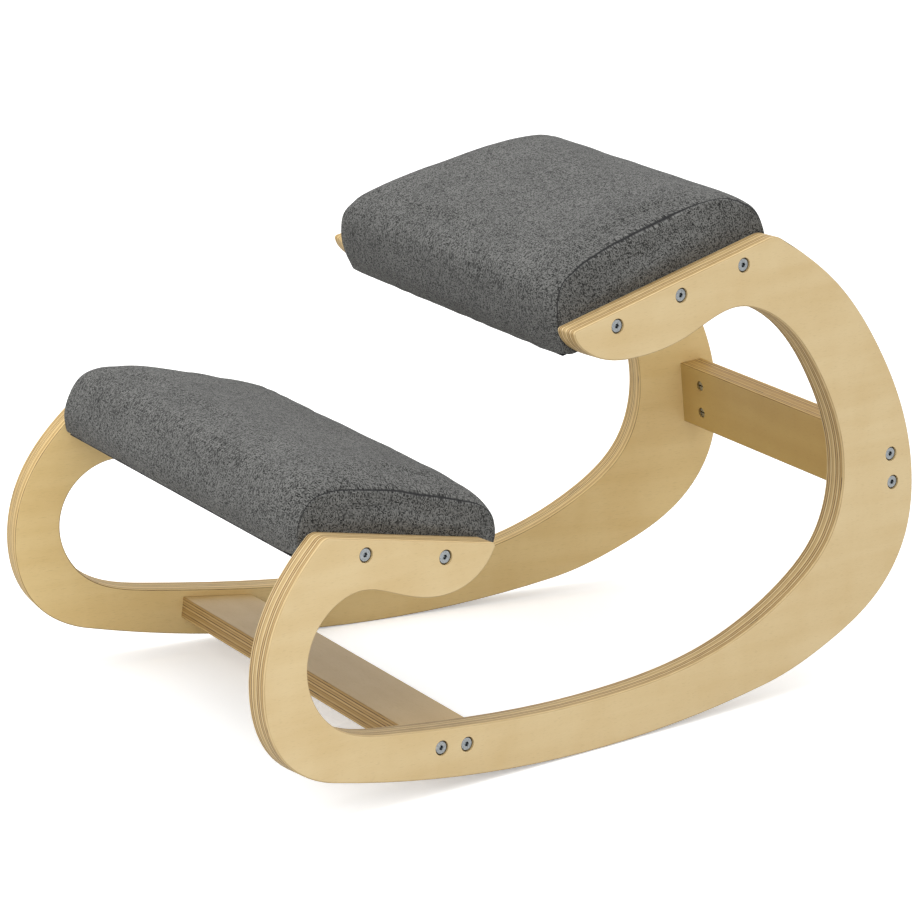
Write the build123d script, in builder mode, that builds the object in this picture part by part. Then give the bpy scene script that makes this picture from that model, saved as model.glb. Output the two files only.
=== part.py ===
from build123d import *
import os
from math import cos, radians, sin, sqrt

# Kneeling chair on two curved plywood rockers, with a padded seat and a padded
# knee rest held between the side frames.
# X is width (right side +X), +Y points to the back of the chair, +Z is up.
# The origin lies on the floor, midway between the side frames.

# ---- side frames, mm and degrees ----
ply = 24.0  # thickness of a side frame
half_width = 214.5  # centre line to the outer face of a side frame, at the origin
toe_angle = 6.3  # each side frame turns inward towards the back
lean_angle = 1.2  # each side frame leans inward towards the top
edge_round = 1.5  # eased edges
rocker_radius = 1200.0
rocker_centre = -8.0  # lowest point, measured along the frame
rocker_front_end = -301.0
rocker_rear_end = 190.0

# ---- seat and knee rails: slope and bolt row, as Y and Z of its middle ----
seat_slope = 12.5  # rises to the back
seat_bolt_centre = (84.3, 401.2)
seat_bolt_pitch = 75.0
knee_slope = -12.5  # falls to the back
knee_bolt_centre = (-219.9, 222.0)
knee_bolt_pitch = 86.0
bolt_below_edge = 13.0  # bolt row below the top edge of both rails

# ---- upholstered pads, measured along and square to their rail ----
seat_depth = 249.0
seat_top = 48.0  # pad surface above the rail edge
seat_bottom = -30.0  # pad underside below the rail edge
seat_shift = -2.0  # pad middle from the bolt row middle
knee_depth = 219.0
knee_top = 45.0
knee_bottom = -22.5
knee_shift = 3.5
pad_round = 22.0  # rounding of the front and rear top edges
fabric = 2.0
fit_gap = 0.3  # pad side to side frame
cover_return = 22.0  # width of the cover turned under the pad
dust_sheet = 0.8
dust_margin = 8.0  # dust sheet edge inside the pad edge

# ---- box frame inside each pad ----
rail_height = 34.0
rail_width = 20.0
panel = 5.0  # plywood panel on top of the box frame
panel_margin = 5.0  # panel edge inside the box frame's edge
front_foam = 8.0  # foam folded down over the front and the rear of the box frame

# ---- cross pieces, centres as Y and Z ----
slat_centre = (-171.0, 40.0)
slat_slope = -6.0
slat_width = 70.0
slat_thickness = 21.0
back_bolt_centre = (342.5, 195.5)
back_rail_centre = (339.0, 195.0)  # the bolts run inwards and slightly forwards
back_rail_lean = 6.0  # its top leans towards the front
back_rail_height = 62.0
back_rail_thickness = 24.0
pair_pitch = 28.0  # two bolts in every cross piece end
board_round = 1.0

# ---- fasteners: furniture bolts with an inner hex, inserts and barrel nuts ----
bolt_radius = 3.0
head_radius = 6.0
head_height = 3.4
head_round = 0.8
hex_radius = 2.4
hex_depth = 2.2
recess_radius = 6.9
recess_depth = 4.6
hole_radius = 3.3
gap = 0.1  # running clearance between a nut or insert and its neighbours
pad_bolt_length = 34.0
board_bolt_length = 60.0
insert_radius = 4.5
insert_length = 15.0
barrel_radius = 5.0
barrel_length = 16.0
barrel_depth = 31.0  # barrel nut centre behind the inner face of the frame
board_hole_depth = 46.0  # bolt hole in a board, a little longer than the bolt
slot_width = 1.4
slot_depth = 1.6
reach = 300.0  # longer than half of the chair's width, for pieces trimmed to fit

os.makedirs("parts", exist_ok=True)


# ---- reference planes and points ----
def side_face(side, depth):
    """Plane parallel to the outer face of a side frame, depth mm inside it."""
    toe = radians(toe_angle)
    lean = radians(lean_angle)
    outward = Vector(side * cos(lean) * cos(toe), cos(lean) * sin(toe), sin(lean))
    along = Vector(-sin(toe), side * cos(toe), 0)
    floor_lift = (ply - edge_round) * sin(lean)  # the inner edge of a rocker is its lowest
    start = Vector(side * half_width, 0, floor_lift) - outward * depth
    return Plane(origin=start, x_dir=along, z_dir=outward)


def across(centre, slope):
    """Plane across the chair: local x is the width, local y runs up the slope."""
    tilt = radians(slope)
    return Plane(origin=(0, *centre), x_dir=(1, 0, 0), z_dir=(0, -sin(tilt), cos(tilt)))


def section_of(plane):
    """Side section of a plane made by across(): local x up the slope, local y out."""
    return Plane(origin=plane.origin, x_dir=plane.y_dir, z_dir=plane.x_dir)


def bolt_row(centre, slope, pitch, count):
    """Frame-face points of evenly spaced bolts on a sloping line."""
    toe = radians(toe_angle)
    lean = radians(lean_angle)
    u = centre[0] / cos(toe) + centre[1] * sin(lean) * sin(toe)
    v = centre[1] / cos(lean)
    steps = [(i - (count - 1) / 2) * pitch for i in range(count)]
    return [(u + s * cos(radians(slope)), v + s * sin(radians(slope))) for s in steps]


def on_side(side, points):
    """The same frame-face points on the right (+1) or the mirrored left (-1) side."""
    return [(side * u, v) for u, v in points]


seat_bolt_points = bolt_row(seat_bolt_centre, seat_slope, seat_bolt_pitch, 3)
knee_bolt_points = bolt_row(knee_bolt_centre, knee_slope, knee_bolt_pitch, 2)
slat_bolt_points = bolt_row(slat_centre, slat_slope, pair_pitch, 2)
back_bolt_points = bolt_row(back_bolt_centre, 90 + back_rail_lean, pair_pitch, 2)
all_bolt_points = seat_bolt_points + knee_bolt_points + slat_bolt_points + back_bolt_points

slat_plane = across(slat_centre, slat_slope)
back_rail_plane = across(back_rail_centre, 90 + back_rail_lean)


def keep(piece, name):
    """Label a finished piece and write it."""
    piece.label = name
    export_step(piece, f"parts/{name}.step")


# ---- side frames ----
def rocker_point(u):
    """Point of the rocker arc at a place along the frame."""
    return (u, rocker_radius - sqrt(rocker_radius**2 - (u - rocker_centre) ** 2))


def smooth(start, start_direction, points, end, end_direction):
    """Spline through points, leaving start and reaching end in given directions."""
    directions = (start_direction, end_direction)
    return Spline(start, *points, end, tangents=directions, tangent_scalars=(1, 1))


# The open outline: rear bow, seat rail edge, the long inner edge, knee rail edge,
# front bow. Its four corners are rounded afterwards.
rocker_front = rocker_point(rocker_front_end)
rocker_rear = rocker_point(rocker_rear_end)
rear_bow_points = [(270, 41.5), (333, 79.5), (365, 128), (372, 178), (359, 247.5), (327, 314)]
rear_bow_points += [(276, 381)]
seat_corner = (197, 439.4)
seat_tip = (-36, 387.5)
inner_rear_points = [(-20.5, 366), (37, 353), (94.5, 363), (151, 380), (191, 368), (257.5, 293)]
inner_rear_points += [(284, 200), (268, 143), (221, 100.5), (133, 62.5)]
inner_low = (-20, 47)
inner_front_points = [(-231, 65), (-301.5, 88.5), (-325, 134), (-312, 178), (-270, 200.5)]
inner_front_points += [(-225, 188), (-186, 178.8), (-148, 187)]
knee_tip = (-123.5, 214.8)
knee_corner = (-304, 254.8)
front_bow_points = [(-351, 200), (-370, 134), (-351, 67)]
seat_corner_round = 20.0
knee_corner_round = 12.0
tip_round = 3.0

with BuildPart() as right_side_frame:
    with BuildSketch(side_face(1, ply)):
        with BuildLine():
            rocker = ThreePointArc(rocker_front, rocker_point(rocker_centre), rocker_rear)
            smooth(rocker @ 1, rocker % 1, rear_bow_points, seat_corner, (-1, 0.6))
            Line(seat_corner, seat_tip)
            smooth(seat_tip, (0, -1), inner_rear_points, inner_low, (-1, 0))
            smooth(inner_low, (-1, 0), inner_front_points, knee_tip, (0.4, 1))
            Line(knee_tip, knee_corner)
            smooth(knee_corner, (-0.75, -0.66), front_bow_points, rocker_front, rocker % 0)
        make_face()
        corners = [(seat_corner, seat_corner_round), (knee_corner, knee_corner_round)]
        corners += [(seat_tip, tip_round), (knee_tip, tip_round)]
        for corner, radius in corners:
            fillet(vertices().sort_by_distance(corner)[0], radius)
    extrude(amount=ply)
    fillet(faces().sort_by(SortBy.AREA)[-2:].edges(), edge_round)
    with BuildSketch(side_face(1, 0)):
        with Locations(*all_bolt_points):
            Circle(recess_radius)
    extrude(amount=-recess_depth, mode=Mode.SUBTRACT)
    with BuildSketch(side_face(1, 0)):
        with Locations(*all_bolt_points):
            Circle(hole_radius)
    extrude(amount=-ply, mode=Mode.SUBTRACT)
keep(right_side_frame.part, "right_side_frame")

with BuildPart() as left_side_frame:
    mirror(right_side_frame.part, about=Plane.YZ)
keep(left_side_frame.part, "left_side_frame")


# ---- pieces trimmed to the side frames ----
def trim(side_depth):
    """Cut the piece being built to the space between two matching side planes."""
    for side in (1, -1):
        split(bisect_by=side_face(side, side_depth), keep=Keep.BOTTOM)


def prism(plane, y_low, y_high, z_low, z_high, rounding, side_depth):
    """Block between the side frames, its top front and top rear edges rounded."""
    with BuildPart() as block:
        with BuildSketch(section_of(plane)):
            with Locations(((y_low + y_high) / 2, (z_low + z_high) / 2)):
                Rectangle(y_high - y_low, z_high - z_low)
            if rounding:
                fillet(vertices().group_by(Axis.Y)[-1], rounding)
        extrude(amount=reach, both=True)
        trim(side_depth)
    return block.part


def drill(points, start_depth, end_depth, radius):
    """Holes square to both side frames, through the piece being built."""
    for side in (1, -1):
        with BuildSketch(side_face(side, start_depth)) as holes:
            with Locations(*on_side(side, points)):
                Circle(radius)
        extrude(holes.sketch, amount=start_depth - end_depth, mode=Mode.SUBTRACT)


# ---- cross pieces ----
def barrel_planes(plane, points):
    """Planes square to a board at each barrel nut, centred in its thickness."""
    planes = []
    for side in (1, -1):
        axis_plane = side_face(side, ply + barrel_depth)
        for u, v in on_side(side, points):
            centre = axis_plane.from_local_coords((u, v, 0))
            planes.append(Plane(origin=centre, x_dir=(1, 0, 0), z_dir=plane.z_dir))
    return planes


def cross_board(plane, width, thickness, points, face):
    """Board between the side frames, drilled for its bolts and barrel nuts.

    face is the side that the barrel nuts go in from: +1 or -1 along the plane.
    """
    with BuildPart() as board:
        add(prism(plane, -width / 2, width / 2, -thickness / 2, thickness / 2, 0, ply))
        fillet(edges().filter_by(Axis.X), board_round)
        drill(points, ply, ply + board_hole_depth, hole_radius)
        for nut_plane in barrel_planes(plane, points):
            blind_end = nut_plane.offset(-face * barrel_length / 2)
            with BuildSketch(blind_end):
                Circle(barrel_radius + gap)
            extrude(amount=face * thickness, mode=Mode.SUBTRACT)
    return board.part


keep(
    cross_board(slat_plane, slat_width, slat_thickness, slat_bolt_points, -1),
    "front_cross_slat",
)
keep(
    cross_board(back_rail_plane, back_rail_height, back_rail_thickness, back_bolt_points, 1),
    "rear_cross_rail",
)


# ---- upholstered pads ----
def make_pad(name, rail_plane, depth, top, bottom, points):
    """All the pieces of one pad; rail_plane lies on the rail edge, at the pad middle."""
    outside = ply + fit_gap
    inside = outside + fabric
    half = depth / 2
    core_half = half - fabric
    frame_half = core_half - front_foam
    frame_low = bottom + fabric
    frame_high = frame_low + rail_height
    panel_high = frame_high + panel

    # box frame of four rails: two end rails take the bolts
    for side, rail_name in ((1, "right"), (-1, "left")):
        with BuildPart() as end_rail:
            add(prism(rail_plane, -frame_half, frame_half, frame_low, frame_high, 0, inside))
            split(bisect_by=side_face(side, inside + rail_width), keep=Keep.TOP)
            drill(points, inside, inside + rail_width, insert_radius + gap)
        keep(end_rail.part, f"{name}_{rail_name}_end_rail")
    inner_side = inside + rail_width
    opening_half = frame_half - rail_width
    with BuildPart() as front_rail:
        add(prism(rail_plane, -frame_half, -opening_half, frame_low, frame_high, 0, inner_side))
    keep(front_rail.part, f"{name}_front_rail")
    with BuildPart() as rear_rail:
        add(prism(rail_plane, opening_half, frame_half, frame_low, frame_high, 0, inner_side))
    keep(rear_rail.part, f"{name}_rear_rail")

    panel_half = frame_half - panel_margin
    panel_side = inside + panel_margin
    top_panel = prism(rail_plane, -panel_half, panel_half, frame_high, panel_high, 0, panel_side)
    keep(top_panel, f"{name}_panel")

    # the foam lies on the panel and folds over the front and the rear of the frame
    foam_top = top - fabric
    foam_round = pad_round - fabric
    core = prism(rail_plane, -core_half, core_half, frame_low, foam_top, foam_round, inside)
    with BuildPart() as foam:
        add(core)
        box_frame = prism(rail_plane, -frame_half, frame_half, frame_low, frame_high, 0, inside)
        add(box_frame, mode=Mode.SUBTRACT)
        add(top_panel, mode=Mode.SUBTRACT)
    keep(foam.part, f"{name}_foam")

    opening = half - cover_return
    with BuildPart() as cover:
        add(prism(rail_plane, -half, half, bottom, top, pad_round, outside))
        add(core, mode=Mode.SUBTRACT)
        hole_side = outside + cover_return
        hole = prism(rail_plane, -opening, opening, bottom, frame_low, 0, hole_side)
        add(hole, mode=Mode.SUBTRACT)
        drill(points, outside, inside, hole_radius)
    keep(cover.part, f"{name}_cover")

    sheet_half = half - dust_margin
    sheet_low = bottom - dust_sheet
    sheet_side = outside + dust_margin
    with BuildPart() as sheet:
        add(prism(rail_plane, -sheet_half, sheet_half, sheet_low, bottom, 0, sheet_side))
    keep(sheet.part, f"{name}_dust_cover")


def rail_edge_plane(bolt_centre, slope, shift):
    """Plane along a rail's top edge, above its bolt row and moved along the slope."""
    bolt_plane = across(bolt_centre, slope)
    return bolt_plane.offset(bolt_below_edge).move(Location(bolt_plane.y_dir * shift))


seat_plane = rail_edge_plane(seat_bolt_centre, seat_slope, seat_shift)
knee_plane = rail_edge_plane(knee_bolt_centre, knee_slope, knee_shift)
make_pad("seat", seat_plane, seat_depth, seat_top, seat_bottom, seat_bolt_points)
make_pad("knee", knee_plane, knee_depth, knee_top, knee_bottom, knee_bolt_points)


# ---- fasteners, as groups of equal solids ----
def make_bolts(name, points, length):
    """Bolts with a low round head, sunk in the recesses of both side frames."""
    with BuildPart() as bolts:
        for side in (1, -1):
            seat = side_face(side, recess_depth)
            with BuildSketch(seat):
                with Locations(*on_side(side, points)):
                    Circle(head_radius)
            extrude(amount=head_height)
        fillet(edges().filter_by(GeomType.CIRCLE), head_round)
        for side in (1, -1):
            with BuildSketch(side_face(side, recess_depth)):
                with Locations(*on_side(side, points)):
                    Circle(bolt_radius)
            extrude(amount=-length)
            with BuildSketch(side_face(side, recess_depth - head_height)):
                with Locations(*on_side(side, points)):
                    RegularPolygon(hex_radius, 6)
            extrude(amount=-hex_depth, mode=Mode.SUBTRACT)
    keep(bolts.part, name)


def make_inserts(name, points):
    """Threaded sleeves in the end rails of a pad."""
    start = ply + fit_gap + fabric
    with BuildPart() as inserts:
        for side in (1, -1):
            with BuildSketch(side_face(side, start)):
                with Locations(*on_side(side, points)):
                    Circle(insert_radius)
                    Circle(bolt_radius + gap, mode=Mode.SUBTRACT)
            extrude(amount=-insert_length)
    keep(inserts.part, name)


def make_barrel_nuts(name, plane, points, face):
    """Slotted cross nuts in a cross board; face is the side they go in from."""
    with BuildPart() as nuts:
        for nut_plane in barrel_planes(plane, points):
            with BuildSketch(nut_plane):
                Circle(barrel_radius)
            extrude(amount=barrel_length / 2, both=True)
            with BuildSketch(nut_plane.offset(face * barrel_length / 2)):
                Rectangle(2 * barrel_radius, slot_width)
            extrude(amount=-face * slot_depth, mode=Mode.SUBTRACT)
        drill(points, ply, ply + board_hole_depth, bolt_radius + gap)
    keep(nuts.part, name)


make_bolts("seat_bolts", seat_bolt_points, pad_bolt_length)
make_bolts("knee_bolts", knee_bolt_points, pad_bolt_length)
make_bolts("front_slat_bolts", slat_bolt_points, board_bolt_length)
make_bolts("rear_rail_bolts", back_bolt_points, board_bolt_length)
make_inserts("seat_inserts", seat_bolt_points)
make_inserts("knee_inserts", knee_bolt_points)
make_barrel_nuts("front_slat_barrel_nuts", slat_plane, slat_bolt_points, -1)
make_barrel_nuts("rear_rail_barrel_nuts", back_rail_plane, back_bolt_points, 1)
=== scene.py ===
import math
import random

import bpy
import numpy as np
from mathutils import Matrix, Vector, noise


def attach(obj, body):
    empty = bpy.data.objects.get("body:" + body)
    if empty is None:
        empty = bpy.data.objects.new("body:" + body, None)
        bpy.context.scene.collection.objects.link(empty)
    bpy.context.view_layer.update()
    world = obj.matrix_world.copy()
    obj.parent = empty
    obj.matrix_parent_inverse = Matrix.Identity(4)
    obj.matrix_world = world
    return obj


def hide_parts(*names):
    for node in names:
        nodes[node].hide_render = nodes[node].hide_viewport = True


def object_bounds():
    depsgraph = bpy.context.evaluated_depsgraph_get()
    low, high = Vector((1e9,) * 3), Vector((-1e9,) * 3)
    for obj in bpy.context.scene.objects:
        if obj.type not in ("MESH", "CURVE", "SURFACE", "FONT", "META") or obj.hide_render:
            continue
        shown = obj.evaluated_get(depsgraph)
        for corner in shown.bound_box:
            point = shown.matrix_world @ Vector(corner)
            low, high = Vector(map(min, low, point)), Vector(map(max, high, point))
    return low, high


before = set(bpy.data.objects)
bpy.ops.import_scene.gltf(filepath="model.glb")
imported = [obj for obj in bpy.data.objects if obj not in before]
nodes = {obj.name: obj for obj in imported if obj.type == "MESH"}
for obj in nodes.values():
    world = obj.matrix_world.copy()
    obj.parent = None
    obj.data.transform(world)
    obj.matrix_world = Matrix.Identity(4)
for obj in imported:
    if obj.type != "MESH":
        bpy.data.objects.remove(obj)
cad_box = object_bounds()
scene = bpy.context.scene
MM = 0.001


# ---------------------------------------------------------------- reading the frame
def coordinates(mesh):
    """Vertex positions of a mesh, one per row."""
    flat = np.zeros(len(mesh.vertices) * 3)
    mesh.vertices.foreach_get("co", flat)
    return flat.reshape(-1, 3)


def broad_normal(node, towards):
    """Normal of the largest flat area of a node that looks roughly the given way."""
    areas = {}
    for polygon in nodes[node].data.polygons:
        if polygon.normal.dot(Vector(towards)) > 0.5:
            key = tuple(round(value, 3) for value in polygon.normal)
            areas[key] = areas.get(key, 0) + polygon.area
    return Vector(max(areas, key=areas.get)).normalized()


def reach(node, direction):
    """Lowest and highest place of a node along a direction."""
    along = coordinates(nodes[node].data) @ np.array(direction)
    return along.min(), along.max()


OUTWARD = broad_normal("right_side_frame", (1, 0, 0))
INNER_FACE = reach("right_side_frame", OUTWARD)[0]


def smooth_curve(points, count_per_span=24):
    """Dense Catmull-Rom curve through points, as rows of an array."""
    p = np.array([points[0], *points, points[-1]], float)
    t = np.linspace(0, 1, count_per_span, endpoint=False)[:, None]
    rows = []
    for i in range(1, len(p) - 2):
        a, b, c, d = p[i - 1], p[i], p[i + 1], p[i + 2]
        bend = (2 * a - 5 * b + 4 * c - d) * t**2 + (3 * b - a - 3 * c + d) * t**3
        rows.append(0.5 * (2 * b + (c - a) * t + bend))
    return np.vstack([*rows, p[-1:]])


def sample(curve, places):
    """Points of a curve at places from 0 to 1 of its length."""
    steps = np.linalg.norm(np.diff(curve, axis=0), axis=1)
    length = np.concatenate([[0], np.cumsum(steps)])
    length /= length[-1]
    return np.column_stack([np.interp(places, length, curve[:, axis]) for axis in (0, 1)])


def new_piece(name, points, faces, smooth=False):
    mesh = bpy.data.meshes.new(name)
    mesh.from_pydata(points, [], faces)
    mesh.polygons.foreach_set("use_smooth", [smooth] * len(faces))
    piece = bpy.data.objects.new(name, mesh)
    scene.collection.objects.link(piece)
    return piece


# ---------------------------------------------------------------- pads
class Pad:
    """Local frame of one pad: s up its slope, h square to it, both from the rail edge."""

    TOP = {"seat": 48 * MM, "knee": 45 * MM}  # CAD pad surface above the rail edge

    def __init__(self, name):
        self.name = name
        self.up = broad_normal(f"{name}_panel", (0, 0, 1))
        self.along = self.up.cross(Vector((1, 0, 0)))
        low, high = reach(f"{name}_cover", self.along)
        self.middle = (low + high) / 2
        self.half = (high - low) / 2
        low, high = reach(f"{name}_cover", self.up)
        self.edge = high - self.TOP[name]
        self.bottom = low - self.edge
        self.panel_top = reach(f"{name}_panel", self.up)[1] - self.edge

    def world(self, x, s, h):
        return Vector((x, 0, 0)) + self.along * (self.middle + s) + self.up * (self.edge + h)

    def half_width(self, s, h):
        """Distance from the middle of the chair to the inner face of a side frame."""
        return (INNER_FACE - OUTWARD.dot(self.world(0, s, h))) / OUTWARD.x


SIDE_GAP = 0.3 * MM  # cover to side frame
CAP_LEAN = 9 * MM  # how far the sewn end panels lean in at the seam
CAP_HEIGHT = 45 * MM  # height above the rail edge where they lean in that far
SHOULDER = 13 * MM  # rounding of the top next to the seams
LEFT_FULLNESS = 0.75  # share of the crown that the left seam already has
SEAM_STEPS = (0.9 * MM, 2.6 * MM, 6.0 * MM)  # mesh rows next to a seam
HELD_CAP = 3 * MM  # the end panels are held up to this height above the rail edge
HELD_HEM = 9 * MM  # height of the held strip along the lower edge


def cap_inset(h):
    """How far the end panel stands in from the side frame at a height."""
    return SIDE_GAP + CAP_LEAN * np.clip(h / CAP_HEIGHT, 0, 1.3) ** 2


def graded(length, step, both_ends=True):
    """Places from 0 to 1, evenly spaced but for tight rows next to the seams."""
    tight = [value / length for value in SEAM_STEPS]
    start = tight[-1] if both_ends else 0.0
    count = max(2, round((1 - tight[-1] - start) * length / step))
    middle = np.linspace(start, 1 - tight[-1], count + 1)
    ends = [1 - value for value in reversed(tight[:-1])] + [1.0]
    starts = [0.0, *tight[:-1]] if both_ends else []
    return np.array([*starts, *middle, *ends])


def coons(front, top, rear, b, c):
    """Grid of points between an outline's front, top and rear and the straight bottom."""
    bottom = front[0] + b[:, None] * (rear[0] - front[0])
    b, c = b[:, None, None], c[None, :, None]
    lift = (1 - c) * bottom[:, None] + c * top[:, None]
    side = (1 - b) * front[None] + b * rear[None]
    corners = (1 - b) * ((1 - c) * front[0] + c * top[0])
    corners = corners + b * ((1 - c) * rear[0] + c * top[-1])
    return lift + side - corners


LEFT_CAP, RIGHT_CAP, WRAP, UNDERSIDE = range(4)


def pad_mesh(name, pad, crown, seam, bottom, inset=0.0, step=5.5 * MM):
    """Closed mesh of a pad: a wrap from front to rear over the top, and two end panels.

    crown and seam are the side outlines at the middle and at the seams, as (s, h) points
    from the bottom front to the bottom rear. inset moves the end panels inwards. Besides
    the piece it returns which vertices are held, and their (on a seam, height) tags.
    """
    crown, seam = smooth_curve(crown), smooth_curve(seam)
    height = seam[:, 1].max() - bottom
    width = 2 * pad.half_width(0, 0)
    a = graded(width, step)
    b = graded(2 * pad.half, step)
    c = graded(height, step, both_ends=False)
    corner = len(c) / (2 * len(c) + len(b))
    places = np.concatenate([c * corner, corner + b * (1 - 2 * corner), 1 - c[::-1] * corner])
    rows = {}
    for key, curve in (("crown", crown), ("seam", seam)):
        ring = sample(curve, places)
        rows[key] = (ring[: len(c)], ring[len(c) : -len(c)], ring[-len(c) :][::-1])
    seam_grid = coons(*rows["seam"], b, c)
    crown_grid = coons(*rows["crown"], b, c)

    index, positions, held, tags = {}, [], [], []
    last = (len(a) - 1, len(b) - 1, len(c) - 1)
    for i, j, k in np.ndindex(len(a), len(b), len(c)):
        if 0 < i < last[0] and 0 < j < last[1] and 0 < k < last[2]:
            continue
        edge_s, edge_h = seam_grid[j, k]
        side = pad.half_width(edge_s, edge_h) - cap_inset(edge_h) - inset
        across = 2 * a[i] - 1
        from_seam = (1 - abs(across)) * side
        fullness = LEFT_FULLNESS if across < 0 else 0
        blend = 1 - (1 - fullness) * math.exp(-from_seam / SHOULDER)
        s, h = seam_grid[j, k] + blend * (crown_grid[j, k] - seam_grid[j, k])
        index[i, j, k] = len(positions)
        positions.append(pad.world(across * side, s, h))
        on_cap = i in (0, last[0])
        held.append(k == 0 or (on_cap and h < HELD_CAP) or h < bottom + HELD_HEM)
        tags.append((on_cap and (k == last[2] or j in (0, last[1])), h))

    faces, panels = [], []

    def grid(corner_at, count_u, count_v, flip, panel):
        for u in range(count_u):
            for v in range(count_v):
                quad = [(u, v), (u + 1, v), (u + 1, v + 1), (u, v + 1)]
                loop = [index[corner_at(*place)] for place in quad]
                faces.append(loop[::-1] if flip else loop)
                panels.append(panel)

    n_a, n_b, n_c = last
    grid(lambda u, v: (0, u, v), n_b, n_c, True, LEFT_CAP)
    grid(lambda u, v: (n_a, u, v), n_b, n_c, False, RIGHT_CAP)
    grid(lambda u, v: (u, 0, v), n_a, n_c, False, WRAP)
    grid(lambda u, v: (u, v, n_c), n_a, n_b, False, WRAP)
    grid(lambda u, v: (u, n_b, v), n_a, n_c, True, WRAP)
    grid(lambda u, v: (u, v, 0), n_a, n_b, True, UNDERSIDE)

    piece = new_piece(name, positions, faces, smooth=True)
    mesh = piece.data

    # flat cloth coordinates in metres, so that the weave follows each panel
    ring = sample(seam, places)
    run = np.concatenate([[0], np.cumsum(np.linalg.norm(np.diff(ring, axis=0), axis=1))])
    uv = mesh.uv_layers.new(name="cloth")
    grid_of = {vertex: key for key, vertex in index.items()}
    for polygon, panel in zip(mesh.polygons, panels):
        for loop in polygon.loop_indices:
            vertex = mesh.loops[loop].vertex_index
            i, j, k = grid_of[vertex]
            co = mesh.vertices[vertex].co
            s, h = co.dot(pad.along), co.dot(pad.up)
            if panel in (LEFT_CAP, RIGHT_CAP):
                uv.data[loop].uv = (s, h)
            elif panel == UNDERSIDE:
                uv.data[loop].uv = (co.x, s)
            else:
                if j == 0 and k < n_c:
                    place = k
                elif j == n_b and k < n_c:
                    place = len(places) - 1 - k
                else:
                    place = len(c) + j
                uv.data[loop].uv = (co.x, run[place])
    return piece, np.array(held), tags


def set_coordinates(mesh, rows):
    mesh.vertices.foreach_set("co", rows.ravel())
    mesh.update()


def normals_of(mesh):
    flat = np.zeros(len(mesh.vertices) * 3)
    mesh.vertex_normals.foreach_get("vector", flat)
    return flat.reshape(-1, 3)


PRESSURE = 4.0
PUFF_LIMIT = 5 * MM  # the simulated move stays below this
SIMULATED_FRAMES = 20
FOAM_HOLD = 0.9  # share of an inward move that the foam behind the cover stops


def inflate(piece, held):
    """Blows the cover up a little with a cloth simulation, where it isn't held."""
    start, normals = coordinates(piece.data), normals_of(piece.data)
    group = piece.vertex_groups.new(name="held")
    group.add([int(v) for v in np.flatnonzero(held)], 1.0, "REPLACE")
    cloth = piece.modifiers.new("inflate", "CLOTH")
    settings = cloth.settings
    settings.quality = 6
    settings.tension_stiffness = 20
    settings.compression_stiffness = 20
    settings.bending_stiffness = 1.0
    settings.use_pressure = True
    settings.uniform_pressure_force = PRESSURE
    settings.effector_weights.gravity = 0
    settings.vertex_group_mass = "held"
    for number in range(1, SIMULATED_FRAMES + 1):
        scene.frame_set(number)
    result = piece.evaluated_get(bpy.context.evaluated_depsgraph_get())
    moved = coordinates(result.data) - start
    piece.modifiers.remove(cloth)
    piece.vertex_groups.remove(group)
    scene.frame_set(1)
    inwards = np.minimum((moved * normals).sum(axis=1, keepdims=True), 0.0)
    moved -= FOAM_HOLD * inwards * normals
    distance = np.linalg.norm(moved, axis=1, keepdims=True) + 1e-9
    eased = PUFF_LIMIT * np.tanh(distance / PUFF_LIMIT)
    set_coordinates(piece.data, start + moved * eased / distance)
    return float(distance.max())


SEAM_DEPTH = 1.1 * MM
SEAM_FADE = 15 * MM  # height over which a seam or a soft bulge grows to its full size
WAVE_HEIGHT = 1.3 * MM
WAVE_ZONE = 26 * MM  # height of the strip that the staples pull in and out
LONG_WAVE, SHORT_WAVE = 17 * MM, 7 * MM
BULGE_HEIGHT, BULGE_WIDTH = 0.7 * MM, 45 * MM
RIGHT_TUCK, LEFT_TUCK = 9 * MM, 2 * MM  # lower front corners, folded under the frame
STILL_END = 0.07  # share of the half width next to the ends where the edge stays straight
TUCK_END = 0.14  # share of the half width that the corner tuck reaches over
TUCK_FRONT = 0.10  # the same share of the half depth


def last_share(value, share):
    """0 up to the last share of the way to 1, then rising to 1."""
    return np.clip(value - (1 - share), 0, share) / share


def pull_in_details(piece, pad, tags):
    """Sinks the seams, and pulls the lower edges in and out between the staples."""
    mesh = piece.data
    rows, normals = coordinates(mesh), normals_of(mesh)
    up, along = np.array(pad.up), np.array(pad.along)
    mask = []
    for v, (on_seam, h) in enumerate(tags):
        above = np.clip((h - pad.bottom) / SEAM_FADE, 0, 1)
        if on_seam:
            rows[v] -= normals[v] * SEAM_DEPTH * above
        zone = np.clip(1 - (h - pad.bottom) / WAVE_ZONE, 0, 1) ** 1.5
        x, s = rows[v][0], rows[v] @ along
        wave = noise.noise(Vector((x / LONG_WAVE, s / LONG_WAVE, 3.1)))
        wave += 0.6 * noise.noise(Vector((x / SHORT_WAVE, s / SHORT_WAVE, 7.7)))
        inside = 1.0 - last_share(abs(x) / pad.half_width(0, 0), STILL_END)
        towards_end = last_share(abs(x) / pad.half_width(s - pad.middle, 0), TUCK_END)
        towards_front = last_share((pad.middle - s) / pad.half, TUCK_FRONT)
        tuck = (RIGHT_TUCK if x > 0 else LEFT_TUCK) * min(1, 2 * zone)
        rows[v] += up * tuck * towards_end**2 * towards_front
        rows[v] += (up * wave + normals[v] * 0.4 * wave) * WAVE_HEIGHT * zone * inside
        bulge = noise.noise(Vector(rows[v]) / BULGE_WIDTH)
        rows[v] += normals[v] * bulge * BULGE_HEIGHT * np.clip(h / SEAM_FADE, 0, 1)
        # seam mask, which the cloth colour darkens as painted shade along the sunk seams
        mask.append(1.0 if on_seam and above > 0.5 else 0.0)
    set_coordinates(mesh, rows)
    attribute = mesh.attributes.new("seam", "FLOAT", "POINT")
    attribute.data.foreach_set("value", mask)


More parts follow.
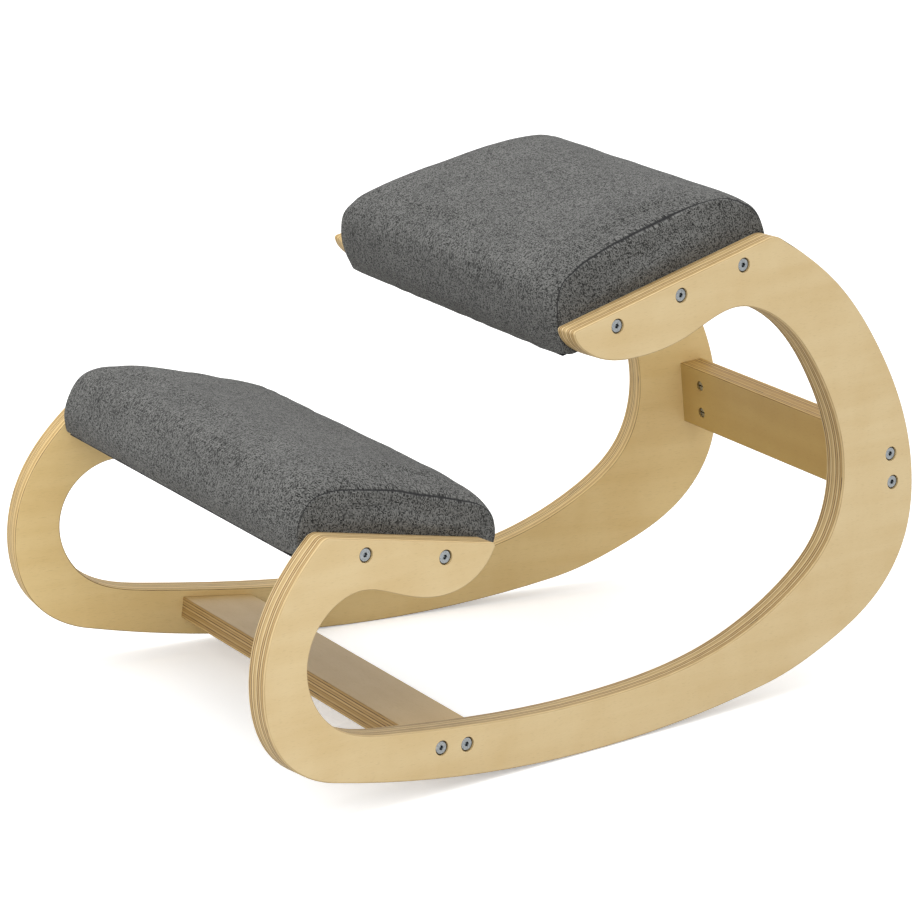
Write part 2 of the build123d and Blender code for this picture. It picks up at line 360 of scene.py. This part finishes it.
# Side outlines in mm, as (along the slope, above the rail edge): "lower" holds the places
# of the front and rear lower edges
OUTLINES = {
    "seat": {
        "lower": (-119, 121),
        "crown": [(-125.5, -10), (-126, 14), (-119, 34), (-97, 45), (-50, 50.5), (-3, 52)]
        + [(42, 51.5), (74, 47.5), (97, 41), (113, 30), (121.5, 14), (124, -2), (124, -14)],
        "seam": [(-119.5, -8), (-119, 10), (-113, 27), (-96, 37), (-49, 45), (-3, 47)]
        + [(42, 47), (72, 45), (95, 39), (110, 30), (119, 19), (122.5, 3), (123, -14)],
    },
    "knee": {
        "lower": (-102, 102),
        "crown": [(-109, -8), (-109.5, 14), (-105, 34), (-90, 45.5), (-66, 49.5), (-33, 50)]
        + [(8, 48), (52, 44), (86, 38), (102, 28), (108, 12), (109, -2), (106.5, -13)],
        "seam": [(-105, -8), (-104.5, 10), (-96.5, 25), (-76.5, 34), (-38.5, 37.5), (8.5, 38)]
        + [(49.5, 34), (86.5, 29), (101.5, 21), (107, 9), (108, -2), (105, -13)],
    },
}


def outline(name, kind, bottom, shrink=0.0):
    """Side outline in metres from the lower front to the lower rear, drawn in by shrink."""
    front, rear = OUTLINES[name]["lower"]
    lowest = bottom + 3 * MM if shrink else bottom
    points = [(front * MM + shrink, bottom)]
    for s, h in OUTLINES[name][kind]:
        if h * MM - shrink > lowest:
            points.append((s * MM - math.copysign(shrink, s), h * MM - shrink))
    return [*points, (rear * MM - shrink, bottom)]


def finished(piece, replaced, rounded=True):
    """Puts a piece in place of a CAD node, if any, on the chair's one body."""
    if rounded:
        smooth = piece.modifiers.new("smooth", "SUBSURF")
        smooth.levels = smooth.render_levels = 1
    if replaced:
        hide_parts(replaced)
    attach(piece, "root")
    return piece


def build_cushion(name, pad):
    """The upholstered cover: inflated by cloth simulation, with sunk seams."""
    crown, seam = outline(name, "crown", pad.bottom), outline(name, "seam", pad.bottom)
    piece, held, tags = pad_mesh(f"{name}_cushion", pad, crown, seam, pad.bottom)
    print(name, "largest simulated move, mm", round(inflate(piece, held) / MM, 1))
    pull_in_details(piece, pad, tags)
    return finished(piece, f"{name}_cover")


def build_foam(name, pad):
    """Foam block on the plywood panel, just inside the cover."""
    inset = 6 * MM  # inside the cover
    low = pad.panel_top + 0.2 * MM
    crown, seam = outline(name, "crown", low, inset), outline(name, "seam", low, inset)
    piece, _, _ = pad_mesh(f"{name}_foam_block", pad, crown, seam, low, inset, step=8 * MM)
    return finished(piece, f"{name}_foam")


SHEET_MARGIN = 8 * MM  # dust sheet edge inside the pad edge
SHEET_THICK = 0.8 * MM
HEM_WIDTH = 0.07  # share of the half width and of the half depth
HEM_THICK = 0.3 * MM  # what the folded hem adds


def build_dust_sheet(name, pad):
    """Thin cloth under the pad with a folded hem, slightly slack in the middle."""
    count_x, count_s = 60, 36
    sag_width, sag_depth = 60 * MM, 0.5 * MM
    top = pad.bottom
    points = []
    for level in (0, 1):
        for i, j in np.ndindex(count_x + 1, count_s + 1):
            across, along = 2 * i / count_x - 1, 2 * j / count_s - 1
            s = along * (pad.half - SHEET_MARGIN)
            x = across * (pad.half_width(s, top) - SHEET_MARGIN)
            edge = min(1 - abs(across), 1 - abs(along))
            hem = HEM_THICK if edge < HEM_WIDTH else 0.0
            sag = noise.noise(Vector((x, s, 0)) / sag_width) * sag_depth * min(1, edge * 6)
            low = top - SHEET_THICK + 0.15 * MM + sag * 0.5 - hem
            points.append(pad.world(x, s, min(low, top - 0.4 * MM) if level else top))

    def at(level, i, j):
        return (level * (count_x + 1) + i) * (count_s + 1) + j

    faces = []
    for i, j in np.ndindex(count_x, count_s):
        quad = [(i, j), (i + 1, j), (i + 1, j + 1), (i, j + 1)]
        faces.append([at(0, *place) for place in quad])
        faces.append([at(1, *place) for place in reversed(quad)])
    rim = [(i, 0) for i in range(count_x)] + [(count_x, j) for j in range(count_s)]
    rim += [(i, count_s) for i in range(count_x, 0, -1)] + [(0, j) for j in range(count_s, 0, -1)]
    for here, there in zip(rim, rim[1:] + rim[:1]):
        faces.append([at(0, *there), at(0, *here), at(1, *here), at(1, *there)])
    piece = new_piece(f"{name}_dust_sheet", points, faces)
    return finished(piece, f"{name}_dust_cover", rounded=False)


STAPLE_SEEDS = {"seat": 7, "knee": 11}


def build_staples(name, pad):
    """Wire staples round the edge of the dust sheet, each slightly askew."""
    chance = random.Random(STAPLE_SEEDS[name])
    length, wire, spacing = 10 * MM, 0.7 * MM, 34 * MM
    margin = SHEET_MARGIN + 5 * MM
    level = pad.bottom - SHEET_THICK - 0.15 * MM
    lean = math.atan2(pad.half_width(1.0, level) - pad.half_width(0.0, level), 1.0)
    places = []
    for side in (-1, 1):
        s = side * (pad.half - margin)
        span = pad.half_width(s, level) - 22 * MM
        for x in np.linspace(-span, span, round(2 * span / spacing) + 1):
            places.append((x, s, 0.0))
        span = pad.half - 24 * MM
        for s in np.linspace(-span, span, round(2 * span / spacing) + 1):
            x = side * (pad.half_width(s, level) - margin)
            places.append((x, s, math.pi / 2 - side * lean))
    # a bar with rounded shoulders, as rings of a bent flat wire: (along, height in wires)
    end = length / 2
    profile = [(-end, 0.5), (-end + 0.3 * MM, -0.2), (-end + 1.1 * MM, -0.55)]
    profile += [(-place, height) for place, height in reversed(profile)]
    ring_shape = ((-0.8, -0.3), (0.8, -0.3), (0.8, 0.4), (-0.8, 0.4))  # in wires
    points, faces = [], []
    for x, s, turn in places:
        turn += chance.uniform(-0.16, 0.16)
        x, s = x + chance.uniform(-2, 2) * MM, s + chance.uniform(-1, 1) * MM
        first = len(points)
        for t, drop in profile:
            for across, rise in ring_shape:
                a = t * math.cos(turn) - across * wire * math.sin(turn)
                b = t * math.sin(turn) + across * wire * math.cos(turn)
                points.append(pad.world(x + a, s + b, level + (drop + rise) * wire))
        for ring in range(len(profile) - 1):
            for k in range(4):
                a, b = first + ring * 4 + k, first + ring * 4 + (k + 1) % 4
                faces.append([a, b, b + 4, a + 4])
        last = first + 4 * (len(profile) - 1)
        faces.append([first + 3, first + 2, first + 1, first])
        faces.append([last, last + 1, last + 2, last + 3])
    piece = new_piece(f"{name}_staples", points, faces)
    return finished(piece, None, rounded=False)


# ---------------------------------------------------------------- materials
class Shader:
    """Small helper for building a node material."""

    def __init__(self, name):
        self.material = bpy.data.materials.new(name)
        self.material.use_nodes = True
        self.tree = self.material.node_tree
        self.surface = self.tree.nodes["Principled BSDF"]
        self.place = self.add("ShaderNodeTexCoord").outputs["Object"]

    def add(self, kind, **settings):
        node = self.tree.nodes.new(kind)
        for key, value in settings.items():
            setattr(node, key, value)
        return node

    def feed(self, socket, value):
        if isinstance(value, bpy.types.NodeSocket):
            self.tree.links.new(value, socket)
        else:
            socket.default_value = value

    def math(self, operation, first, second=0.0, third=0.0):
        node = self.add("ShaderNodeMath", operation=operation)
        for socket, value in zip(node.inputs, (first, second, third)):
            self.feed(socket, value)
        return node.outputs[0]

    def scaled(self, value, factor):
        return self.math("MULTIPLY", value, factor)

    def dot(self, direction, place=None):
        node = self.add("ShaderNodeVectorMath", operation="DOT_PRODUCT")
        self.feed(node.inputs[0], place or self.place)
        self.feed(node.inputs[1], tuple(direction))
        return node.outputs["Value"]

    def vector(self, x, y, z):
        node = self.add("ShaderNodeCombineXYZ")
        for socket, value in zip(node.inputs, (x, y, z)):
            self.feed(socket, value)
        return node.outputs[0]

    def stretched(self, places, factors):
        """Vector of three places, each times its own factor."""
        return self.vector(*(self.scaled(*pair) for pair in zip(places, factors)))

    def noise(self, place, detail=2.0, scale=1.0):
        node = self.add("ShaderNodeTexNoise")
        self.feed(node.inputs["Vector"], place)
        self.feed(node.inputs["Scale"], scale)
        self.feed(node.inputs["Detail"], detail)
        return node.outputs["Fac"]

    def random(self, place):
        node = self.add("ShaderNodeTexWhiteNoise", noise_dimensions="3D")
        self.feed(node.inputs["Vector"], place)
        return node.outputs["Value"]

    def ramp(self, value, low, high, to_low=0.0, to_high=1.0):
        """Smooth step from to_low to to_high as the value goes from low to high."""
        node = self.add("ShaderNodeMapRange", interpolation_type="SMOOTHSTEP")
        self.feed(node.inputs["Value"], value)
        self.feed(node.inputs["From Min"], low)
        self.feed(node.inputs["From Max"], high)
        self.feed(node.inputs["To Min"], to_low)
        self.feed(node.inputs["To Max"], to_high)
        return node.outputs["Result"]

    def mix(self, factor, first, second, blend="MIX"):
        node = self.add("ShaderNodeMix", data_type="RGBA", blend_type=blend)
        self.feed(node.inputs[0], factor)
        for socket, value in zip((node.inputs[6], node.inputs[7]), (first, second)):
            self.feed(socket, (*value, 1.0) if isinstance(value, tuple) else value)
        return node.outputs[2]

    def shaded(self, colour, value):
        """The colour times a grey value."""
        return self.mix(1.0, colour, self.vector(value, value, value), "MULTIPLY")

    def bump(self, height, distance, strength):
        node = self.add("ShaderNodeBump")
        self.feed(node.inputs["Height"], height)
        self.feed(node.inputs["Distance"], distance)
        self.feed(node.inputs["Strength"], strength)
        return node.outputs["Normal"]

    def finish(self, **inputs):
        """Sets inputs of the surface, with _ for spaces in their names."""
        for key, value in inputs.items():
            socket = self.surface.inputs[key.replace("_", " ")]
            if isinstance(value, tuple):
                value = (*value, 1.0)
            self.feed(socket, value)
        return self.material


def paint(piece, material):
    """Gives a piece one material in all its slots."""
    piece.data.materials.clear()
    piece.data.materials.append(material)


# linear colours
BIRCH_LIGHT = (0.70, 0.543, 0.298)
BIRCH_DARK = (0.635, 0.466, 0.228)
PLY_LIGHT = (0.68, 0.52, 0.27)
PLY_DEEP = (0.41, 0.26, 0.09)
GLUE = (0.13, 0.06, 0.018)
# near black: the painted shade inside voids in the plywood core
CORE_GAP_SHADE = (0.035, 0.02, 0.01)
PINE_LIGHT, PINE_DARK = (0.72, 0.53, 0.31), (0.60, 0.40, 0.20)
POPLAR_LIGHT, POPLAR_DARK = (0.74, 0.62, 0.45), (0.62, 0.49, 0.32)
YARN_DARK, YARN_LIGHT = (0.003, 0.003, 0.003), (0.195, 0.195, 0.186)
# dark colour of the painted shade along the sunk seams
SEAM_SHADE = (0.018, 0.018, 0.019)
ZINC_DULL, ZINC_BRIGHT = (0.36, 0.39, 0.41), (0.52, 0.55, 0.57)
# the cavity colour is painted shade in sockets and slots
CAVITY_SHADE = (0.01, 0.011, 0.012)
# the darker foam colour is painted shade in the open cells
FOAM_CELL_SHADE, FOAM_LIGHT = (0.50, 0.46, 0.34), (0.80, 0.77, 0.62)
DUST_DARK, DUST_LIGHT = (0.012, 0.012, 0.013), (0.040, 0.040, 0.042)
FLOOR_SEEN, FLOOR_BOUNCE = (0.93, 0.93, 0.925), (0.62, 0.62, 0.61)


def plywood(node, normal, grain, plies, seed, light_and_shade_tint):
    """Lacquered birch plywood: veneer on the broad faces, banded plies on the edges, times a tint
    of painted light and shade.
    """
    shader = Shader(f"{node}_plywood")
    wander = 0.6 * MM  # unevenness of the plies
    across = Vector(normal).cross(Vector(grain)).normalized()
    low, high = reach(node, normal)
    ply = (high - low) / plies
    depth = shader.math("SUBTRACT", shader.dot(normal), low)
    u, v = shader.dot(grain), shader.dot(across)
    uneven = shader.noise(shader.vector(u, v, seed), scale=14.0)
    depth = shader.math("MULTIPLY_ADD", uneven, wander, shader.math("SUBTRACT", depth, wander / 2))
    layer = shader.math("DIVIDE", depth, ply)
    number = shader.math("FLOOR", layer)
    joint = shader.math("ROUND", layer)
    to_joint = shader.math("ABSOLUTE", shader.math("SUBTRACT", layer, joint))

    # veneer on the faces: long soft figure, fine pores along the grain
    figure = shader.noise(shader.stretched((u, v, seed), (5.0, 42.0, 1.0)), 4.0)
    pores = shader.noise(shader.stretched((u, v, seed), (160.0, 1500.0, 1.0)), 1.0)
    flame = shader.noise(shader.stretched((u, v, seed + 5.0), (22.0, 12.0, 1.0)), 3.0)
    soft = shader.scaled(shader.ramp(flame, 0.35, 0.7), 0.4)
    tone = shader.math("MULTIPLY_ADD", shader.ramp(figure, 0.3, 0.7), 0.6, soft)
    face = shader.mix(tone, BIRCH_LIGHT, BIRCH_DARK)
    face = shader.mix(shader.scaled(shader.ramp(pores, 0.58, 0.75), 0.12), face, GLUE)

    # plies on the edges: every second one shows its end grain, with dark lines between
    end_grain = shader.math("ABSOLUTE", shader.math("MODULO", number, 2.0))
    own_tone = shader.random(shader.vector(number, seed, 0.0))
    layer_tone = shader.math("MULTIPLY_ADD", own_tone, 0.55, shader.scaled(end_grain, 0.45))
    streak = shader.noise(shader.stretched((u, v, depth), (60.0, 60.0, 2500.0)), 3.0)
    edge = shader.mix(shader.ramp(layer_tone, 0.15, 0.95, 0.0, 0.85), PLY_LIGHT, PLY_DEEP)
    edge = shader.mix(shader.ramp(streak, 0.35, 0.75, 0.0, 0.55), edge, PLY_DEEP)
    patchy = shader.noise(shader.stretched((u, v, joint), (30.0, 30.0, 1.0)), 3.0)
    weight = shader.ramp(shader.random(shader.vector(joint, seed, 2.0)), 0.1, 0.8, 0.3, 1.0)
    line = shader.scaled(shader.ramp(to_joint, 0.10, 0.26, 1.0, 0.0), weight)
    line = shader.scaled(line, shader.ramp(patchy, 0.3, 0.55, 0.6, 1.0))
    edge = shader.mix(line, edge, GLUE)
    # sparse voids between the plies, coloured with the painted shade inside them
    sparse = shader.noise(shader.stretched((u, v, joint), (17.0, 17.0, 7.0)), 2.0)
    gap = shader.ramp(to_joint, 0.13, 0.19, 1.0, 0.0)
    gap = shader.scaled(gap, shader.ramp(sparse, 0.66, 0.69))
    edge = shader.mix(gap, edge, CORE_GAP_SHADE)

    facing = shader.dot(normal, shader.add("ShaderNodeTexCoord").outputs["Normal"])
    is_face = shader.ramp(shader.math("ABSOLUTE", facing), 0.86, 0.97)
    colour = shader.mix(is_face, edge, face)
    # painted light and shade: the board's colour times its tint
    colour = shader.mix(1.0, colour, light_and_shade_tint, "MULTIPLY")
    rough = shader.math("MULTIPLY_ADD", is_face, -0.16, 0.56)
    rough = shader.math("MULTIPLY_ADD", pores, 0.10, rough)
    height = shader.math("MULTIPLY_ADD", pores, 0.25, shader.scaled(line, -0.8))
    height = shader.math("MULTIPLY_ADD", figure, 0.15, height)
    return shader.finish(
        Base_Color=colour,
        Roughness=rough,
        Coat_Weight=0.12,
        Coat_Roughness=0.35,
        Normal=shader.bump(height, 0.12 * MM, 0.6),
    )


def solid_wood(node, light, dark, grain):
    """Plain sawn wood with growth rings stretched along the grain."""
    shader = Shader(f"{node}_wood")
    axes = ((1, 0, 0), (0, 1, 0), (0, 0, 1))
    factors = [6.0 if axis == grain else 260.0 for axis in axes]
    rings = shader.noise(shader.stretched([shader.dot(axis) for axis in axes], factors), 4.0)
    colour = shader.mix(shader.ramp(rings, 0.35, 0.68), light, dark)
    relief = shader.bump(rings, 0.2 * MM, 0.5)
    return shader.finish(Base_Color=colour, Roughness=0.62, Normal=relief)


def upholstery(name):
    """Heathered plain weave: light and dark yarns with slubs, one over one under, with painted
    shade between the yarns and along the seams.
    """
    shader = Shader(name)
    pitch = 1.05 * MM  # yarn to yarn
    cloth = shader.add("ShaderNodeUVMap", uv_map="cloth").outputs["UV"]
    parts = shader.add("ShaderNodeSeparateXYZ")
    shader.feed(parts.inputs[0], cloth)
    drift = shader.noise(cloth, scale=90.0)  # keeps the yarns from running dead straight
    u = shader.math("MULTIPLY_ADD", drift, 1.2 * MM, parts.outputs[0])
    v = shader.math("MULTIPLY_ADD", drift, -1.0 * MM, parts.outputs[1])
    tu, tv = shader.math("DIVIDE", u, pitch), shader.math("DIVIDE", v, pitch)
    iu, iv = shader.math("FLOOR", tu), shader.math("FLOOR", tv)
    fu, fv = shader.math("FRACT", tu), shader.math("FRACT", tv)
    warp_on_top = shader.math("ABSOLUTE", shader.math("MODULO", shader.math("ADD", iu, iv), 2.0))

    def yarn(across, run, seed):
        stretch = shader.math("FLOOR", shader.math("DIVIDE", run, 9.0))
        tone = shader.random(shader.vector(across, stretch, seed))
        slub = shader.noise(shader.stretched((across, run, seed), (0.73, 0.16, 1.0)), 2.0)
        fibre = shader.noise(shader.stretched((across, run, seed + 4.0), (0.9, 0.9, 1.0)), 1.0)
        mixed = shader.math("MULTIPLY_ADD", slub, 0.75, shader.scaled(tone, 0.2))
        return shader.math("MULTIPLY_ADD", fibre, 0.35, mixed)

    tone = shader.add("ShaderNodeMix", data_type="FLOAT")
    shader.feed(tone.inputs[0], warp_on_top)
    shader.feed(tone.inputs[2], yarn(iv, tu, 1.0))
    shader.feed(tone.inputs[3], yarn(iu, tv, 9.0))
    crossing = shader.random(shader.vector(iu, iv, 3.0))
    mixed = shader.math("MULTIPLY_ADD", crossing, 0.50, shader.scaled(tone.outputs[0], 0.8))
    shade = shader.ramp(mixed, 0.42, 1.04)
    colour = shader.mix(shade, YARN_DARK, YARN_LIGHT)

    def dome(place):
        return shader.math("SINE", shader.scaled(place, math.pi))

    height = shader.scaled(dome(fu), dome(fv))
    # painted shade: darker where the yarns dip between their crossings
    colour = shader.shaded(colour, shader.ramp(height, 0.0, 0.45, 0.55, 1.0))
    wide = shader.noise(cloth, detail=3.0, scale=18.0)
    colour = shader.shaded(colour, shader.ramp(wide, 0.3, 0.7, 0.92, 1.06))
    seam = shader.add("ShaderNodeAttribute", attribute_name="seam").outputs["Fac"]
    # painted shade along the sunk seams
    colour = shader.mix(shader.ramp(seam, 0.35, 0.9), colour, SEAM_SHADE)
    relief = shader.math("MULTIPLY_ADD", shade, 0.5, height)
    return shader.finish(
        Base_Color=colour,
        Roughness=0.92,
        Sheen_Weight=0.1,
        Sheen_Roughness=0.5,
        Specular_IOR_Level=0.2,
        Normal=shader.bump(relief, 0.35 * MM, 0.75),
    )


def zinc(name):
    """Bright zinc plate: faintly mottled and scratched, with painted shade inside its sockets and
    slots.
    """
    shader = Shader(name)
    mottle = shader.noise(shader.place, detail=3.0, scale=700.0)
    colour = shader.mix(shader.ramp(mottle, 0.3, 0.7), ZINC_DULL, ZINC_BRIGHT)
    # painted shade in sockets, slots and recesses, found by ambient occlusion within 2.5 mm
    cavity_shade = shader.add("ShaderNodeAmbientOcclusion", samples=8)
    shader.feed(cavity_shade.inputs["Distance"], 2.5 * MM)
    colour = shader.mix(shader.ramp(cavity_shade.outputs["AO"], 0.35, 0.85), CAVITY_SHADE, colour)
    scratch = shader.noise(shader.place, detail=2.0, scale=4200.0)
    rough = shader.math("MULTIPLY_ADD", mottle, 0.16, 0.20)
    relief = shader.bump(scratch, 0.02 * MM, 0.6)
    return shader.finish(Base_Color=colour, Metallic=1.0, Roughness=rough, Normal=relief)


def open_cell_foam(name):
    """Cream upholstery foam with small open cells."""
    shader = Shader(name)
    cells = shader.add("ShaderNodeTexVoronoi")
    shader.feed(cells.inputs["Vector"], shader.place)
    shader.feed(cells.inputs["Scale"], 900.0)
    distance = cells.outputs["Distance"]
    # painted shade in the hollows of the open cells
    colour = shader.mix(shader.ramp(distance, 0.1, 0.6), FOAM_CELL_SHADE, FOAM_LIGHT)
    relief = shader.bump(distance, 0.4 * MM, 0.7)
    return shader.finish(Base_Color=colour, Roughness=0.9, Normal=relief)


def non_woven(name):
    """Black spun-bonded dust cloth with its grid of bonding dimples."""
    shader = Shader(name)
    fibres = shader.noise(shader.place, detail=4.0, scale=1600.0)
    dimples = shader.add("ShaderNodeTexVoronoi")
    shader.feed(dimples.inputs["Vector"], shader.place)
    shader.feed(dimples.inputs["Scale"], 620.0)
    shader.feed(dimples.inputs["Randomness"], 0.25)
    pits = shader.ramp(dimples.outputs["Distance"], 0.15, 0.4)
    colour = shader.mix(shader.ramp(fibres, 0.3, 0.7), DUST_DARK, DUST_LIGHT)
    relief = shader.bump(shader.math("MULTIPLY_ADD", fibres, 0.5, pits), 0.2 * MM, 0.6)
    return shader.finish(Base_Color=colour, Roughness=0.85, Normal=relief)


# ---------------------------------------------------------------- the object
cloth_material = upholstery("grey_upholstery")
zinc_material = zinc("zinc_plate")
foam_material = open_cell_foam("foam_cells")
dust_material = non_woven("dust_cloth")
for name in ("seat", "knee"):
    pad = Pad(name)
    paint(build_cushion(name, pad), cloth_material)
    paint(build_foam(name, pad), foam_material)
    paint(build_dust_sheet(name, pad), dust_material)
    paint(build_staples(name, pad), zinc_material)

along_right = Vector((0, 0, 1)).cross(OUTWARD).normalized()
outward_left, along_left = (Vector((-v.x, v.y, v.z)) for v in (OUTWARD, along_right))
slat_up = broad_normal("front_cross_slat", (0, 0, 1))
rail_front = broad_normal("rear_cross_rail", (0, -1, 0))
boards = [  # node, normal of the broad faces, grain, plies, tint of painted light and shade
    ("right_side_frame", OUTWARD, along_right, 9, (1.0, 1.0, 1.0)),
    # the tints paint light and shade: the far frame lighter and warmer, the slat and the rear rail
    # darker and browner where they stand in shade
    ("left_side_frame", outward_left, along_left, 9, (1.12, 1.08, 0.92)),
    ("front_cross_slat", slat_up, (1, 0, 0), 8, (0.82, 0.73, 0.55)),
    ("rear_cross_rail", rail_front, (1, 0, 0), 9, (0.73, 0.62, 0.35)),
]
for seed, (node, normal, grain, plies, light_and_shade_tint) in enumerate(boards):
    paint(nodes[node], plywood(node, normal, grain, plies, seed * 3.7, light_and_shade_tint))

for name, node in nodes.items():
    if name.endswith(("bolts", "inserts", "barrel_nuts")):
        paint(node, zinc_material)
    elif name.endswith("panel"):
        paint(node, solid_wood(name, POPLAR_LIGHT, POPLAR_DARK, (1, 0, 0)))
    elif name.endswith("end_rail"):
        paint(node, solid_wood(name, PINE_LIGHT, PINE_DARK, (0, 1, 0)))
    elif name.startswith(("seat", "knee")) and name.endswith("rail"):
        paint(node, solid_wood(name, PINE_LIGHT, PINE_DARK, (1, 0, 0)))


# ---------------------------------------------------------------- floor, light, camera
# seen by the camera the floor is almost white, and from below it is not there at all
FLOOR_REACH = 30.0
FLOOR_LEVEL = -0.2 * MM
corners = ((-1, -1), (1, -1), (1, 1), (-1, 1))
points = [(x * FLOOR_REACH, y * FLOOR_REACH, FLOOR_LEVEL) for x, y in corners]
floor = new_piece("floor", points, [(0, 1, 2, 3)])
floor_shader = Shader("pale_floor")
seen = floor_shader.add("ShaderNodeLightPath").outputs["Is Camera Ray"]
from_below = floor_shader.add("ShaderNodeNewGeometry").outputs["Backfacing"]
paint(
    floor,
    floor_shader.finish(
        Base_Color=floor_shader.mix(seen, FLOOR_BOUNCE, FLOOR_SEEN),
        Emission_Color=(1.0, 1.0, 1.0),
        Emission_Strength=floor_shader.scaled(seen, 0.35),
        Alpha=floor_shader.math("SUBTRACT", 1.0, from_below),
        Roughness=0.9,
        Specular_IOR_Level=0.1,
    ),
)

low_corner, high_corner = cad_box
centre = (low_corner + high_corner) / 2


def area_light(name, azimuth, elevation, distance, size, power):
    """Soft light aimed at the middle of the chair. Azimuth 0 is the chair's front."""
    light = bpy.data.lights.new(name, "AREA")
    light.shape = "DISK"
    light.size = size
    light.energy = power
    lamp = bpy.data.objects.new(name, light)
    turn, lift = math.radians(azimuth), math.radians(elevation)
    level = math.cos(lift)
    away = Vector((math.sin(turn) * level, -math.cos(turn) * level, math.sin(lift)))
    lamp.location = centre + away * distance
    lamp.rotation_euler = away.to_track_quat("Z", "Y").to_euler()
    scene.collection.objects.link(lamp)


area_light("overhead", 15, 80, 2.4, 2.2, 26)
area_light("front_left", -20, 35, 2.6, 1.8, 5)
area_light("right_front", 42, 22, 1.9, 1.2, 6)

world = bpy.data.worlds.new("studio")
scene.world = world
world.use_nodes = True
background = world.node_tree.nodes["Background"]
background.inputs["Color"].default_value = (1, 1, 1, 1)
background.inputs["Strength"].default_value = 1.0

camera_data = bpy.data.cameras.new("camera")
camera_data.sensor_width = 36.0
camera_data.lens = 152.6
camera_data.clip_end = 200.0
camera = bpy.data.objects.new("camera", camera_data)
scene.collection.objects.link(camera)
CAMERA_AZIMUTH, CAMERA_ELEVATION = 58.7, 16.8
camera.location = (2.9387, -1.8111, 1.2550)
camera.rotation_euler = (math.radians(90 - CAMERA_ELEVATION), 0, math.radians(CAMERA_AZIMUTH))
scene.camera = camera
scene.view_settings.view_transform = "Standard"
